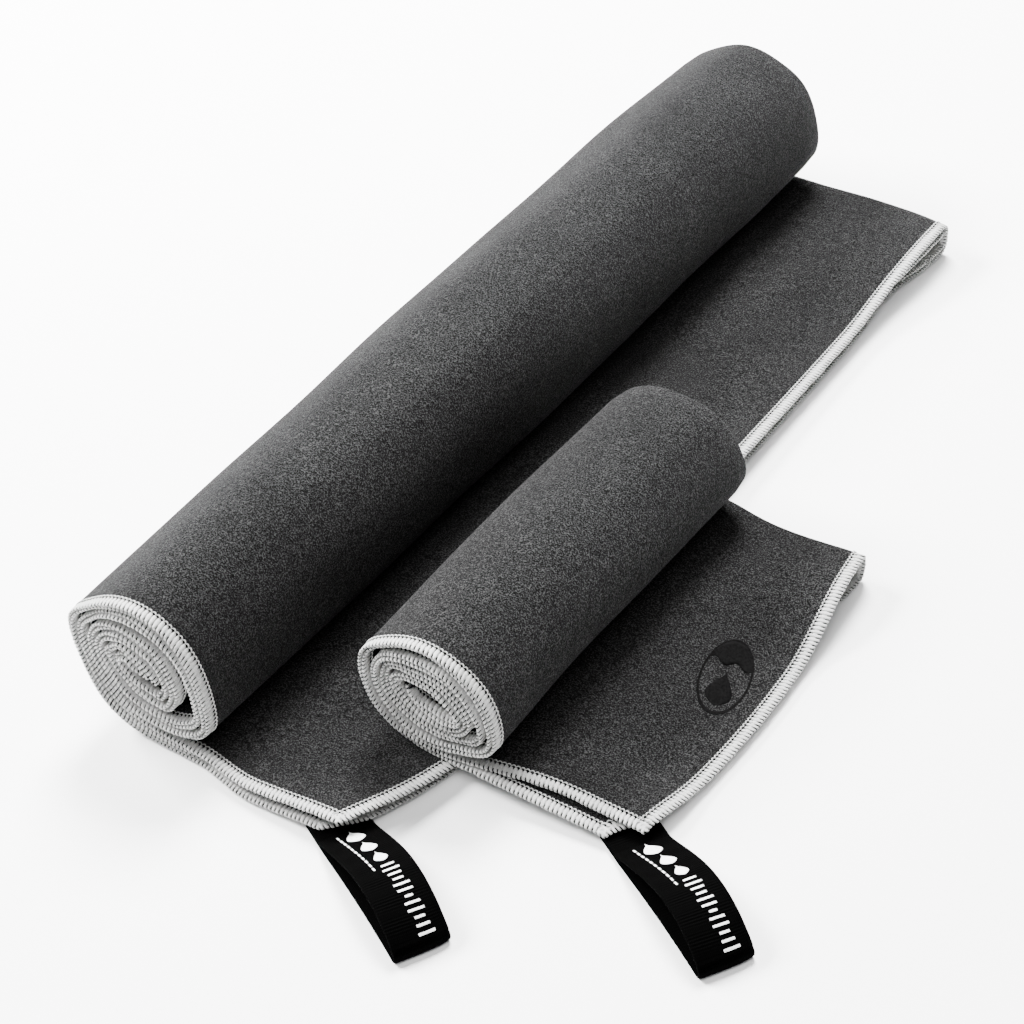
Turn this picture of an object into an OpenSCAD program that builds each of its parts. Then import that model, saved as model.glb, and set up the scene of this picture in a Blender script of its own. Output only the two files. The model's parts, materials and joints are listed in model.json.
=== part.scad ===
// Two quick dry towels, each folded, rolled and left with a free end.
// The small towel's roll lies on the free end of the large one.
// The rolls run along Y. The hemmed roll ends face -Y and the free ends point to +X.

/* [Cloth] */
// Thickness of one cloth layer
cloth_t = 1.9; // [1.2:0.1:1.9]
// Distance from one cloth layer to the next
pitch = 2.05; // [2.05:0.05:2.2]
// Width of the overlocked thread hem
hem_w = 5; // [3:0.5:7]

/* [Large towel] */
// Length of the large roll
large_len = 400; // [340:10:440]
// Half of the large roll's width
large_half_w = 31.5; // [30:0.5:36]
// Half of the large roll's height
large_half_h = 29.5; // [28:0.5:34]
// Distance from the large roll's axis to its end hem
large_reach = 98; // [90:1:104]
// How far the near corner is pulled back from the end hem's line
large_pull = 21; // [0:1:24]
// Length of the end hem that the pull bends
large_pull_span = 80; // [60:5:120]

/* [Small towel] */
// Length of the small roll
small_len = 157; // [140:1:180]
// Half of the small roll's width
small_half_w = 28.7; // [27:0.1:30]
// Half of the small roll's height
small_half_h = 22.6; // [21.5:0.1:25]
// Distance from the small roll's axis to its end hem
small_reach = 77; // [70:1:84]
// How far the end hem bows out at its middle
small_bow = 5; // [0:0.5:8]
// How far the near corner is pulled back from the end hem's line
small_pull = 5; // [0:1:8]
// Length of the end hem that the pull bends
small_pull_span = 30; // [20:5:60]
// Distance between the two rolls' axes
small_x = 86; // [80:1:90]
// How far the small roll's near end sits behind the large one's
small_y = 39; // [30:1:60]

/* [Hanging loops] */
// Width of the webbing
web_w = 20; // [15:1:25]
// Thickness of the webbing
web_t = 1.2; // [0.8:0.1:1.2]
// Length of a loop from its hinge line to its folded tip
loop_len = 52; // [45:1:60]
// Height that the loop's upper leg arches above its lower leg
loop_rise = 9; // [7:0.5:12]
// Direction of the large loop, below +X in plan
large_loop_angle = 31; // [20:1:45]
// Direction of the small loop, below +X in plan
small_loop_angle = 33; // [20:1:45]

/* [Hidden] */

cloth_color = [0.17, 0.17, 0.18];
fold_color = [0.24, 0.24, 0.25];
thread_color = [0.93, 0.93, 0.91];
web_color = [0.04, 0.04, 0.04];
print_color = [0.95, 0.95, 0.95];

// The large towel is folded into four layers and the small one into two
large_layers = 4;
small_layers = 2;
large_turns = 2.75;
small_turns = 4.25;
turn_gap = 0.2;
body_gap = 0.3;
angle_step = 10;

// The cloth is split where the roll ends and the free end begins
large_joint_x = 24;
small_joint_x = small_x + 18;
small_z = large_layers * pitch + body_gap;
small_landing_x = small_joint_x + 26;

// Near edges of the free ends
large_near_y = -3;
small_bottom_near_y = small_y + 3;
small_top_near_y = small_y + 10;

// Each loop hinges just outside the corner that it is sewn to
corner_gap = 3.2;
large_hinge_shift = [2, 1.3];
small_hinge_shift = [3.5, 1];
tab_len = 12;
web_gap = 0.1;
loop_root_h = 2 * web_t + web_gap;
loop_closed = 3;
large_hinge = [large_reach - large_pull + corner_gap * cos(large_loop_angle), large_near_y]
              + large_hinge_shift;
small_hinge = [small_x + small_reach - small_pull + corner_gap * cos(small_loop_angle),
               small_bottom_near_y] + small_hinge_shift;

// The origin is the middle of the whole set's footprint, on the floor
x_low = -large_half_w;
x_high = small_hinge[0] + loop_len * cos(small_loop_angle) + web_w / 2 * sin(small_loop_angle);
y_low = large_hinge[1] - loop_len * sin(large_loop_angle) - web_w / 2 * cos(large_loop_angle);
y_high = large_len;
mid = [(x_low + x_high) / 2, (y_low + y_high) / 2];

emblem_at = [148, 122];
emblem_size = [8.7, 18.9];
emblem_turn = 12;
emblem_t = 0.15;
tall = 100;
y_step = 5;
layer_step = 3;

// Printed bars along the upper leg
ink_t = 0.15;
print_start = 10;
print_end_gap = 8;
bars = 5;
bar_pitch = 6;
bar_size = [3.5, 6];

// Row of stitches across a tab
stitch_size = [1, 1.8, 0.4];
stitch_inset = 2;
stitch_pitch = web_w / 8;

module place() {
    translate([-mid[0], -mid[1], 0]) children();
}

module along_y(y0, y1) {
    translate([0, y1, 0]) rotate([90, 0, 0]) linear_extrude(height = y1 - y0) children();
}

// ---- rolls ----

// A point of a flattened spiral: angle runs inwards from the bottom of the outer turn
function spiral(angle, off, half, centre, turn) =
    [centre[0] - (half[0] - turn * angle / 360 + off) * sin(angle),
     centre[1] - (half[1] - turn * angle / 360 + off) * cos(angle)];

// Section of the rolled cloth between two depths below its outer face, with its flat tail
module spiral_section(half_w, half_h, layers, turns, axis, joint_x, from, to) {
    pack = layers * pitch;
    turn = pack + turn_gap;
    half = [half_w + turn_gap / 2, half_h - pack / 2 + turn / 4];
    centre = [axis[0] + turn / 4, axis[1] + half[1] + pack / 2];
    outer = pack / 2 - from;
    inner = pack / 2 - to;
    steps = [for (i = [0 : turns * 360 / angle_step]) i * angle_step];
    polygon(concat(
        [[joint_x, axis[1] + from]],
        [for (a = steps) spiral(a, outer, half, centre, turn)],
        [for (i = [len(steps) - 1 : -1 : 0]) spiral(steps[i], inner, half, centre, turn)],
        [[joint_x, axis[1] + to]]));
}

module large_section(from, to) {
    spiral_section(large_half_w, large_half_h, large_layers, large_turns,
                   [0, 0], large_joint_x, from, to);
}

module small_section(from, to) {
    spiral_section(small_half_w, small_half_h, small_layers, small_turns,
                   [small_x, small_z], small_joint_x, from, to);
}

module large_roll() {
    color(cloth_color) place() along_y(hem_w, large_len)
        large_section(0, large_layers * pitch - turn_gap);
}

module large_roll_hems() {
    color(thread_color) place() along_y(0, hem_w)
        for (k = [0 : large_layers - 1]) large_section(k * pitch, k * pitch + cloth_t);
}

module small_roll() {
    color(cloth_color) place() along_y(small_y + hem_w, small_y + small_len)
        small_section(0, small_layers * pitch - turn_gap);
}

module small_roll_hems() {
    color(thread_color) place() along_y(small_y, small_y + hem_w)
        for (k = [0 : small_layers - 1]) small_section(k * pitch, k * pitch + cloth_t);
}

// ---- free ends ----

// Line of the large end hem's outer edge
function large_end(y) =
    large_reach - large_pull * pow(1 - min(max(y - large_near_y, 0) / large_pull_span, 1), 2);

// Line of the small end hem's outer edge
function small_end(y) =
    small_x + small_reach
    + small_bow * sin(180 * min(max((y - small_y) / small_len, 0), 1))
    - small_pull * pow(1 - min(max(y - small_bottom_near_y, 0) / small_pull_span, 1), 2);

// The small free end comes down from the large towel to the floor
function small_drop(x) =
    small_z * (1 + cos(180 * min(max((x - small_joint_x) / (small_landing_x - small_joint_x), 0), 1))) / 2;

function rows(y0, y1) = concat([for (y = [y0 : y_step : y1 - 0.01]) y], [y1]);

// Plan area up to the end hem's line, less an inset
module large_plan(y0, y1, inset) {
    edge = [for (y = rows(y0, y1)) [large_end(y) - inset, y]];
    polygon(concat([[large_joint_x + body_gap, y0]], edge, [[large_joint_x + body_gap, y1]]));
}

module small_plan(y0, y1, inset) {
    edge = [for (y = rows(y0, y1)) [small_end(y) - inset, y]];
    polygon(concat([[small_joint_x + body_gap, y0]], edge, [[small_joint_x + body_gap, y1]]));
}

module large_cloth_plan() {
    large_plan(large_near_y + hem_w, large_len, hem_w);
}

module large_hem_plan() {
    difference() {
        large_plan(large_near_y, large_len, 0);
        large_plan(large_near_y - 1, large_len + 1, hem_w);
    }
}

// Layers first and last, joined by a fold at the far side
module large_fold(first, last) {
    inset = first * pitch;
    translate([0, 0, first * pitch]) linear_extrude(height = cloth_t) children();
    translate([0, 0, last * pitch]) linear_extrude(height = cloth_t) children();
    translate([0, 0, first * pitch]) linear_extrude(height = (last - first) * pitch + cloth_t)
        intersection() {
            children();
            translate([0, large_len - inset - cloth_t]) square([tall * 2, cloth_t]);
        }
}

// Keeps the inner fold's cloth inside the outer fold
module inside_outer_fold() {
    difference() {
        children();
        translate([0, large_len - pitch]) square([tall * 2, tall]);
    }
}

module large_flap_outer() {
    color(cloth_color) place() difference() {
        large_fold(0, large_layers - 1) large_cloth_plan();
        large_pocket();
    }
}

module large_flap_inner() {
    color(fold_color) place() difference() {
        large_fold(1, large_layers - 2) inside_outer_fold() large_cloth_plan();
        large_pocket();
    }
}

module large_end_hem_outer() {
    color(thread_color) place() difference() {
        large_fold(0, large_layers - 1) large_hem_plan();
        large_pocket();
    }
}

module large_end_hem_inner() {
    color(thread_color) place() difference() {
        large_fold(1, large_layers - 2) inside_outer_fold() large_hem_plan();
        large_pocket();
    }
}

module large_side_hems() {
    color(thread_color) place() difference() {
        for (k = [0 : large_layers - 1])
            translate([0, 0, k * pitch]) linear_extrude(height = cloth_t)
                large_plan(large_near_y, large_near_y + hem_w, hem_w);
        large_pocket();
    }
}

// Section of one layer of the small free end, from its joint past its end hem
module small_layer(k) {
    flat_x = small_x + small_reach - 2 * small_bow;
    end_x = small_x + small_reach + 2 * small_bow;
    along = concat([for (x = [small_joint_x : layer_step : flat_x]) x], [end_x]);
    polygon(concat(
        [for (x = along) [x, small_drop(x) + k * pitch]],
        [for (i = [len(along) - 1 : -1 : 0])
            [along[i], small_drop(along[i]) + k * pitch + cloth_t]]));
}

// Both layers of the small free end over a plan area, joined by a fold at the far side
module small_fold(bottom_y, top_y) {
    far_y = small_y + small_len;
    intersection() {
        along_y(bottom_y, far_y) small_layer(0);
        linear_extrude(height = tall) children();
    }
    intersection() {
        along_y(top_y, far_y) small_layer(1);
        linear_extrude(height = tall) children();
    }
    intersection() {
        along_y(far_y - cloth_t, far_y) translate([0, pitch / 2]) small_layer(0);
        linear_extrude(height = tall) children();
    }
}

module small_flap() {
    color(cloth_color) place() difference() {
        small_fold(small_bottom_near_y + hem_w, small_top_near_y + hem_w)
            small_plan(small_bottom_near_y, small_y + small_len, hem_w);
        small_pocket();
    }
}

module small_end_hem() {
    color(thread_color) place() difference() {
        small_fold(small_bottom_near_y, small_top_near_y) difference() {
            small_plan(small_bottom_near_y, small_y + small_len, 0);
            small_plan(small_bottom_near_y - 1, small_y + small_len + 1, hem_w);
        }
        small_pocket();
    }
}

module small_side_hems() {
    near = [small_bottom_near_y, small_top_near_y];
    color(thread_color) place() difference() {
        for (k = [0 : small_layers - 1]) intersection() {
            along_y(near[k], near[k] + hem_w) small_layer(k);
            linear_extrude(height = tall) small_plan(near[k], near[k] + hem_w, hem_w);
        }
        small_pocket();
    }
}

module small_emblem() {
    color(fold_color) place()
        translate([emblem_at[0], emblem_at[1], pitch + cloth_t])
            linear_extrude(height = emblem_t) rotate([0, 0, emblem_turn])
                polygon([for (a = [0 : 10 : 350]) [emblem_size[0] * cos(a), emblem_size[1] * sin(a)]]);
}

// ---- hanging loops ----

// Puts a loop's own frame at its hinge: X along the loop, Z up
module at_loop(hinge, angle) {
    translate([hinge[0], hinge[1], 0]) rotate([0, 0, -angle]) children();
}

function arch(s) = loop_root_h + loop_rise * pow(sin(180 * s / loop_len), 2);

module loop_section() {
    tip_r = loop_root_h / 2;
    tip = [for (a = [-90 : 15 : 90]) [loop_len - tip_r + tip_r * cos(a), tip_r + tip_r * sin(a)]];
    back = [for (s = [loop_len - 2 : -2 : 2]) [s, arch(s)]];
    inside = [for (s = [loop_closed : 2 : loop_len - loop_closed]) [s, arch(s) - web_t]];
    difference() {
        polygon(concat([[body_gap, 0]], tip, back, [[body_gap, loop_root_h]]));
        polygon(concat([[loop_len - loop_closed, web_t], [loop_closed, web_t]], inside));
    }
}

module webbing_loop() {
    along_y(-web_w / 2, web_w / 2) loop_section();
}

// The loop's two ends, sewn under the corner, with a recess for the row of stitches
module loop_tab() {
    difference() {
        translate([-tab_len, -web_w / 2, 0]) cube([tab_len, web_w, loop_root_h]);
        loop_stitches();
    }
}

module loop_stitches() {
    for (i = [-3 : 3])
        translate([stitch_inset - tab_len, i * stitch_pitch - stitch_size[1] / 2, loop_root_h - stitch_size[2]])
            cube(stitch_size);
}

// Space that a tab takes out of the corner's cloth
module tab_pocket() {
    translate([-tab_len - turn_gap, -web_w / 2 - turn_gap, -1])
        cube([tab_len + web_w, web_w + 2 * turn_gap, loop_root_h + turn_gap + 1]);
}

module large_pocket() {
    at_loop(large_hinge, large_loop_angle) tab_pocket();
}

module small_pocket() {
    at_loop(small_hinge, small_loop_angle) tab_pocket();
}

module loop_print() {
    print_end = loop_len - print_end_gap;
    intersection() {
        along_y(-web_w, web_w) polygon(concat(
            [for (s = [print_start : 2 : print_end]) [s, arch(s)]],
            [for (s = [print_end : -2 : print_start]) [s, arch(s) + ink_t]]));
        for (i = [0 : bars - 1])
            translate([print_start + 2 + i * bar_pitch, -bar_size[1] / 2, 0])
                cube([bar_size[0], bar_size[1], tall]);
    }
}

module large_loop_tab() {
    color(web_color) place() at_loop(large_hinge, large_loop_angle) loop_tab();
}

module large_loop_stitches() {
    color(thread_color) place() at_loop(large_hinge, large_loop_angle) loop_stitches();
}

module large_loop() {
    color(web_color) place() at_loop(large_hinge, large_loop_angle) webbing_loop();
}

module large_loop_print() {
    color(print_color) place() at_loop(large_hinge, large_loop_angle) loop_print();
}

module small_loop_tab() {
    color(web_color) place() at_loop(small_hinge, small_loop_angle) loop_tab();
}

module small_loop_stitches() {
    color(thread_color) place() at_loop(small_hinge, small_loop_angle) loop_stitches();
}

module small_loop() {
    color(web_color) place() at_loop(small_hinge, small_loop_angle) webbing_loop();
}

module small_loop_print() {
    color(print_color) place() at_loop(small_hinge, small_loop_angle) loop_print();
}

large_roll();
large_roll_hems();
large_flap_outer();
large_flap_inner();
large_side_hems();
large_end_hem_outer();
large_end_hem_inner();
large_loop_tab();
large_loop_stitches();
large_loop();
large_loop_print();
small_roll();
small_roll_hems();
small_flap();
small_side_hems();
small_end_hem();
small_loop_tab();
small_loop_stitches();
small_loop();
small_loop_print();
small_emblem();
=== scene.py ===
"""Two rolled quick dry towels: folded cloth, overlocked hems, webbing loops and marks.

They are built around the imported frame. Every length inside this script is in millimetres, in the frame's
axes, until mesh_piece() turns it into metres, unless its name ends in _M. The cloth of each towel is one
sheet. A place on it has p, the distance from the free end's hem towards the core of the roll, y, and depth,
the distance in from the outer face of the folded pack.
"""

import json
import math

import bpy
import numpy as np
from mathutils import Matrix, Vector


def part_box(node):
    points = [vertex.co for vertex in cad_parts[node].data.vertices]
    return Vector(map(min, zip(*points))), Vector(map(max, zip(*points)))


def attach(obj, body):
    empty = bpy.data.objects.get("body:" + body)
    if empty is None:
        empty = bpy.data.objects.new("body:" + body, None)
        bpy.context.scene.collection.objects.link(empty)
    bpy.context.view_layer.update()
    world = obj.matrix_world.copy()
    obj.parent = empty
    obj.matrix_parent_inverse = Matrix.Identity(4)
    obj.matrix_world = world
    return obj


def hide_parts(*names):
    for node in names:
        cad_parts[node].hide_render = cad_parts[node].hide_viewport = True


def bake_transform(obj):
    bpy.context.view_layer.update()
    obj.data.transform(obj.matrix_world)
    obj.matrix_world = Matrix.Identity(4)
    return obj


MM = 0.001
TURN = 2 * math.pi
WAVE_COUNT = 7
WAVE_FALLOFF = 0.7  # power of a wave's length that its height goes with

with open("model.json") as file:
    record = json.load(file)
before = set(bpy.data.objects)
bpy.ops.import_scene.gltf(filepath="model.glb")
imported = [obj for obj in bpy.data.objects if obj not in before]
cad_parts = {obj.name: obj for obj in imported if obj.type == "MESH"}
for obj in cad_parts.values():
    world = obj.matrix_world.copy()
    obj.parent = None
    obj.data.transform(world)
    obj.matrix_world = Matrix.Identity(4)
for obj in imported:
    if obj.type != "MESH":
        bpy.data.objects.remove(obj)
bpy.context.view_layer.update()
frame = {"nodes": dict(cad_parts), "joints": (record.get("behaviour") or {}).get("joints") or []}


def box_mm(node):
    """Lowest and highest corner of a CAD node, in millimetres."""
    low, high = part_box(node)
    return np.array(low) / MM, np.array(high) / MM


def joint_mm(name):
    """Place of a hinge, in millimetres, and its axis."""
    joint = next(j for j in frame["joints"] if j["name"] == name)
    return np.array(joint["pos_m"]) / MM, np.array(joint["axis"], float)


def rise(x, start, end):
    """0 up to start, 1 from end on, and smooth in between."""
    t = np.clip((x - start) / (end - start), 0, 1)
    return t * t * (3 - 2 * t)


def fall(x, start, end):
    """1 up to start, 0 from end on, and smooth in between."""
    return 1 - rise(x, start, end)


def hump(x, middle, width):
    """1 at the middle, falling away on both sides."""
    return np.exp(-(((x - middle) / width) ** 2))


def eased(t):
    """Rises from 0 to 1 like the edge of cloth pulled at its corner."""
    return 1 - (1 - np.clip(t, 0, 1)) ** 2


def between(pair, share):
    """The value that is a share of the way from a pair's first value to its second."""
    return pair[0] + (pair[1] - pair[0]) * share


def unit(v):
    """Vectors brought to length 1."""
    return v / np.maximum(np.linalg.norm(v, axis=-1, keepdims=True), 1e-9)


def waves(a, b, seed, longest, shortest):
    """A smooth random surface over (a, b) in millimetres, about -1 to 1, with the long waves tallest."""
    rng = np.random.default_rng(seed)
    total = np.zeros(np.broadcast(a, b).shape)
    for _ in range(WAVE_COUNT):
        length = shortest * (longest / shortest) ** rng.random()
        way = rng.random() * TURN
        phase = rng.random() * TURN
        ahead = a * math.cos(way) + b * math.sin(way)
        total += np.sin(TURN * ahead / length + phase) * (length / longest) ** WAVE_FALLOFF
    return total / math.sqrt(WAVE_COUNT)


# ---------------------------------------------------------------- meshes


def mesh_piece(name, points, faces, material, uv=None):
    """A smooth-shaded mesh object from points in millimetres."""
    mesh = bpy.data.meshes.new(name)
    mesh.from_pydata((np.asarray(points).reshape(-1, 3) * MM).tolist(), [], faces)
    mesh.polygons.foreach_set("use_smooth", [True] * len(mesh.polygons))
    if uv is not None:
        layer = mesh.uv_layers.new(name="UVMap")
        loops = np.zeros(len(mesh.loops), int)
        mesh.loops.foreach_get("vertex_index", loops)
        layer.data.foreach_set("uv", np.asarray(uv, np.float32).reshape(-1, 2)[loops].ravel())
    mesh.materials.append(material)
    mesh.update()
    obj = bpy.data.objects.new(name, mesh)
    bpy.context.scene.collection.objects.link(obj)
    return obj


def grid_faces(rows, columns, start=0, wrap=False):
    """Quads of a grid whose points run along columns first."""
    last = columns if wrap else columns - 1
    i, j = np.meshgrid(np.arange(rows - 1), np.arange(last), indexing="ij")
    k = (j + 1) % columns
    quads = np.stack([i * columns + j, i * columns + k, (i + 1) * columns + k, (i + 1) * columns + j], -1)
    return (quads.reshape(-1, 4) + start).tolist()


def tube(path, across, up, wide, high, sides):
    """Points and faces of a tube of elliptical section along a path, with flat closed ends. wide and high are
    half sizes, each a number or one for each point of the path."""
    wide, high = (np.broadcast_to(half, len(path)) for half in (wide, high))
    angle = np.arange(sides) * TURN / sides
    ring = (path[:, None] + across[:, None] * (wide[:, None] * np.cos(angle))[..., None]
            + up[:, None] * (high[:, None] * np.sin(angle))[..., None])
    count = len(path)
    faces = grid_faces(count, sides, wrap=True)
    faces.append(list(range(sides))[::-1])
    faces.append([(count - 1) * sides + i for i in range(sides)])
    return ring.reshape(-1, 3), faces


def join(parts):
    """One point array and face list out of several."""
    points, faces, start = [], [], 0
    for part_points, part_faces in parts:
        points.append(np.asarray(part_points).reshape(-1, 3))
        faces += [[v + start for v in face] for face in part_faces]
        start += len(points[-1])
    return np.concatenate(points), faces


def closed_sheet(top, bottom):
    """Points and outward faces of a closed sheet between two grids. top is on the side that rows x columns
    points to."""
    rows, columns = top.shape[:2]
    count = rows * columns
    faces = [face[::-1] for face in grid_faces(rows, columns)]
    faces += grid_faces(rows, columns, start=count)
    rim = ([(0, j) for j in range(columns)] + [(i, columns - 1) for i in range(1, rows)]
           + [(rows - 1, j) for j in range(columns - 2, -1, -1)] + [(i, 0) for i in range(rows - 2, 0, -1)])
    flat = [i * columns + j for i, j in rim]
    for a, b in zip(flat, flat[1:] + flat[:1]):
        faces.append([a, b, b + count, a + count])
    return np.concatenate([top.reshape(-1, 3), bottom.reshape(-1, 3)]), faces


def thick_sheet(name, grid, thickness, material, uv):
    """A closed cloth about a grid of mid-surface points, with a thickness for each point."""
    normal = unit(np.cross(np.gradient(grid, axis=0), np.gradient(grid, axis=1)))
    points, faces = closed_sheet(grid + normal * thickness / 2, grid - normal * thickness / 2)
    return mesh_piece(name, points, faces, material, np.concatenate([uv.reshape(-1, 2)] * 2))


# ---------------------------------------------------------------- materials


# numbers of the colour sockets of a mix node, whose names repeat
MIX_FIRST = 6
MIX_SECOND = 7
MIX_RESULT = 2


def new_material(name, **sockets):
    """A material with its shader's own sockets set, and its node tree."""
    material = bpy.data.materials.new(name)
    material.use_nodes = True
    tree = material.node_tree
    shader = tree.nodes["Principled BSDF"]
    for socket, value in sockets.items():
        shader.inputs[socket.replace("_", " ")].default_value = value
    return material, tree, shader


def node(tree, kind, inputs=(), **settings):
    """A shader node with its settings made and its inputs set or linked."""
    made = tree.nodes.new(kind)
    for key, value in settings.items():
        setattr(made, key, value)
    for key, value in dict(inputs).items():
        if isinstance(value, bpy.types.NodeSocket):
            tree.links.new(value, made.inputs[key])
        else:
            made.inputs[key].default_value = value
    return made


def ramp(tree, factor, stops):
    """A colour ramp over a factor, from (position, grey or colour) stops."""
    made = node(tree, "ShaderNodeValToRGB", {"Fac": factor})
    elements = made.color_ramp.elements
    while len(elements) < len(stops):
        elements.new(0.5)
    for element, (position, colour) in zip(elements, stops):
        element.position = position
        element.color = (*colour, 1) if isinstance(colour, tuple) else (colour, colour, colour, 1)
    return made.outputs["Color"]


def object_noise(tree, scale, detail, **more):
    """The factor of a noise over the object's own coordinates, in metres."""
    place = node(tree, "ShaderNodeTexCoord").outputs["Object"]
    inputs = {"Vector": place, "Scale": scale, "Detail": detail, **more}
    return node(tree, "ShaderNodeTexNoise", inputs).outputs["Fac"]


def multiplied(tree, first, second):
    """Two colours multiplied."""
    inputs = {"Factor": 1.0, MIX_FIRST: first, MIX_SECOND: second}
    return node(tree, "ShaderNodeMix", inputs, data_type="RGBA", blend_type="MULTIPLY").outputs[MIX_RESULT]


def bumped(tree, shader, height, distance, strength):
    """Fine relief from a height of 0 to 1 that stands for a distance in metres."""
    bump = node(tree, "ShaderNodeBump", {"Height": height, "Distance": distance, "Strength": strength})
    tree.links.new(bump.outputs["Normal"], shader.inputs["Normal"])


def microfibre_material():
    """Suede-napped charcoal microfibre: fine flecks, tufts and brushed patches, and a soft sheen."""
    material, tree, shader = new_material(
        "microfibre", Roughness=0.95, Sheen_Weight=0.04, Sheen_Roughness=0.35, Specular_IOR_Level=0.05)
    shader.inputs["Sheen Tint"].default_value = (0.8, 0.8, 0.82, 1)
    fleck = object_noise(tree, 1850, 2, Roughness=0.7)
    tuft = object_noise(tree, 420, 3, Roughness=0.6)
    brushed = object_noise(tree, 22, 4, Distortion=0.6)
    flecks = ramp(tree, fleck, [(0.39, 0.0005), (0.5, 0.0046), (0.62, 0.033)])
    tufts = ramp(tree, tuft, [(0.3, 0.8), (0.7, 1.2)])
    patches = ramp(tree, brushed, [(0.3, 0.82), (0.7, 1.2)])
    colour = multiplied(tree, multiplied(tree, flecks, tufts), patches)
    tree.links.new(colour, shader.inputs["Base Color"])
    height = node(tree, "ShaderNodeMath", {0: fleck, 1: tuft}, operation="ADD")
    bumped(tree, shader, height.outputs[0], 0.0008, 0.9)
    return material


def thread_material():
    """Soft white polyester thread with fine filaments, a little greyed in places."""
    material, tree, shader = new_material(
        "hem_thread", Roughness=0.62, Sheen_Weight=0.15, Specular_IOR_Level=0.3)
    filament = object_noise(tree, 3800, 2)
    soiled = object_noise(tree, 160, 3)
    fine = ramp(tree, filament, [(0.3, (0.24, 0.24, 0.235)), (0.65, (0.5, 0.5, 0.49))])
    broad = ramp(tree, soiled, [(0.3, 0.86), (0.7, 1.0)])
    tree.links.new(multiplied(tree, fine, broad), shader.inputs["Base Color"])
    bumped(tree, shader, filament, 0.00015, 0.6)
    return material


def webbing_material():
    """Black ribbed webbing: fine bands across it and along it, placed by UV in millimetres."""
    material, tree, shader = new_material("webbing", Roughness=0.95, Specular_IOR_Level=0.01)
    uv = node(tree, "ShaderNodeUVMap", uv_map="UVMap").outputs["UV"]
    ribs = node(tree, "ShaderNodeTexWave", {"Vector": uv, "Scale": 0.32, "Distortion": 0.5, "Detail": 1},
                wave_type="BANDS", bands_direction="X")
    warp = node(tree, "ShaderNodeTexWave", {"Vector": uv, "Scale": 0.55, "Distortion": 0.4},
                wave_type="BANDS", bands_direction="Y")
    bands = {0: ribs.outputs["Fac"], 1: warp.outputs["Fac"]}
    weave = node(tree, "ShaderNodeMath", bands, operation="MULTIPLY").outputs[0]
    colour = ramp(tree, weave, [(0.0, 0.0002), (0.5, 0.0006), (1.0, 0.0013)])
    tree.links.new(colour, shader.inputs["Base Color"])
    bumped(tree, shader, weave, 0.0002, 0.6)
    return material


def print_material():
    """White screen print with small worn gaps where the ribs show."""
    material, tree, shader = new_material("print", Roughness=0.5)
    worn = object_noise(tree, 1500, 2)
    tree.links.new(ramp(tree, worn, [(0.28, 0.45), (0.42, 0.86)]), shader.inputs["Base Color"])
    bumped(tree, shader, worn, 0.0001, 0.4)
    return material


def emblem_material():
    """Nap pressed flat and darker than the cloth around it."""
    material, tree, shader = new_material("emblem", Roughness=0.9, Specular_IOR_Level=0.03)
    fleck = object_noise(tree, 1300, 2)
    tree.links.new(ramp(tree, fleck, [(0.3, 0.0006), (0.7, 0.0035)]), shader.inputs["Base Color"])
    bumped(tree, shader, fleck, 0.0002, 0.5)
    return material


def floor_material():
    """A plain pale floor with a very slight unevenness."""
    material, tree, shader = new_material("floor", Roughness=0.9, Specular_IOR_Level=0.1)
    grain = object_noise(tree, 6, 2)
    tree.links.new(ramp(tree, grain, [(0.3, 0.93), (0.7, 0.95)]), shader.inputs["Base Color"])
    return material


cloth_look = microfibre_material()
thread_look = thread_material()
webbing_look = webbing_material()
print_look = print_material()
emblem_look = emblem_material()


# ---------------------------------------------------------------- towels

CLOTH_THICKNESS = 1.0
THIN_UNDER_HEM = 0.55  # share of the thickness left where the stitches pull the cloth thin
THIN_FADE = (-1.2, 0.3)  # where it comes back, about the hem's inner line
EDGE = 0.3  # from a towel's nominal edge in to the cloth's own edge
HEM_WIDTH = 4.1

# mesh of the sheet: rows close together near the hem, then even ones, and columns along the free end
HEM_ROWS = (0, 2.2, 4.6, 7.5)
EVEN_ROWS_FROM = 11
COLUMN_STEP = 3.2
FIRST_COLUMN_ANGLE = 4
FOLD_STEPS = 11
LINE_STEP = 0.5

# the rolled pack
TURN_GAP = 0.2
SLACK_TURNS = (0.75, 1.25)  # turns over which the roll goes from tight to slack
ROLLED_ANGLE = math.radians(70)  # angle from which the cloth counts as rolled
FREE_REACH = (-30, 10)  # where the free end's shaping fades, about the line where the roll begins
END_REACH = 70  # how far from the free end its edge is pulled about
FOLD_NEST = 0.4  # how much sooner each inner fold turns, in layers
PAIRING = 0.1  # how far layers draw together in pairs, in layers
SHOULDER_LENGTH = 9
SLUMP_POWER = 1.6

# unevenness: radii that turn angles into distances, and distances that one millimetre of depth stands for
SWELL_RADIUS = 26
LAYER_RADIUS = 24
RIDGE_STRETCH = 0.12
PARTING = 0.32
PARTING_SHIFT = 37
LAYER_SLIDE = 0.55
SLIDE_SHIFT = 41
SLIDE_RATE = 0.83
NEAR_SHARE = 0.35  # share of the roll, from its near face, where turns and layers slide and part
NEAR_REACH = 90


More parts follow.
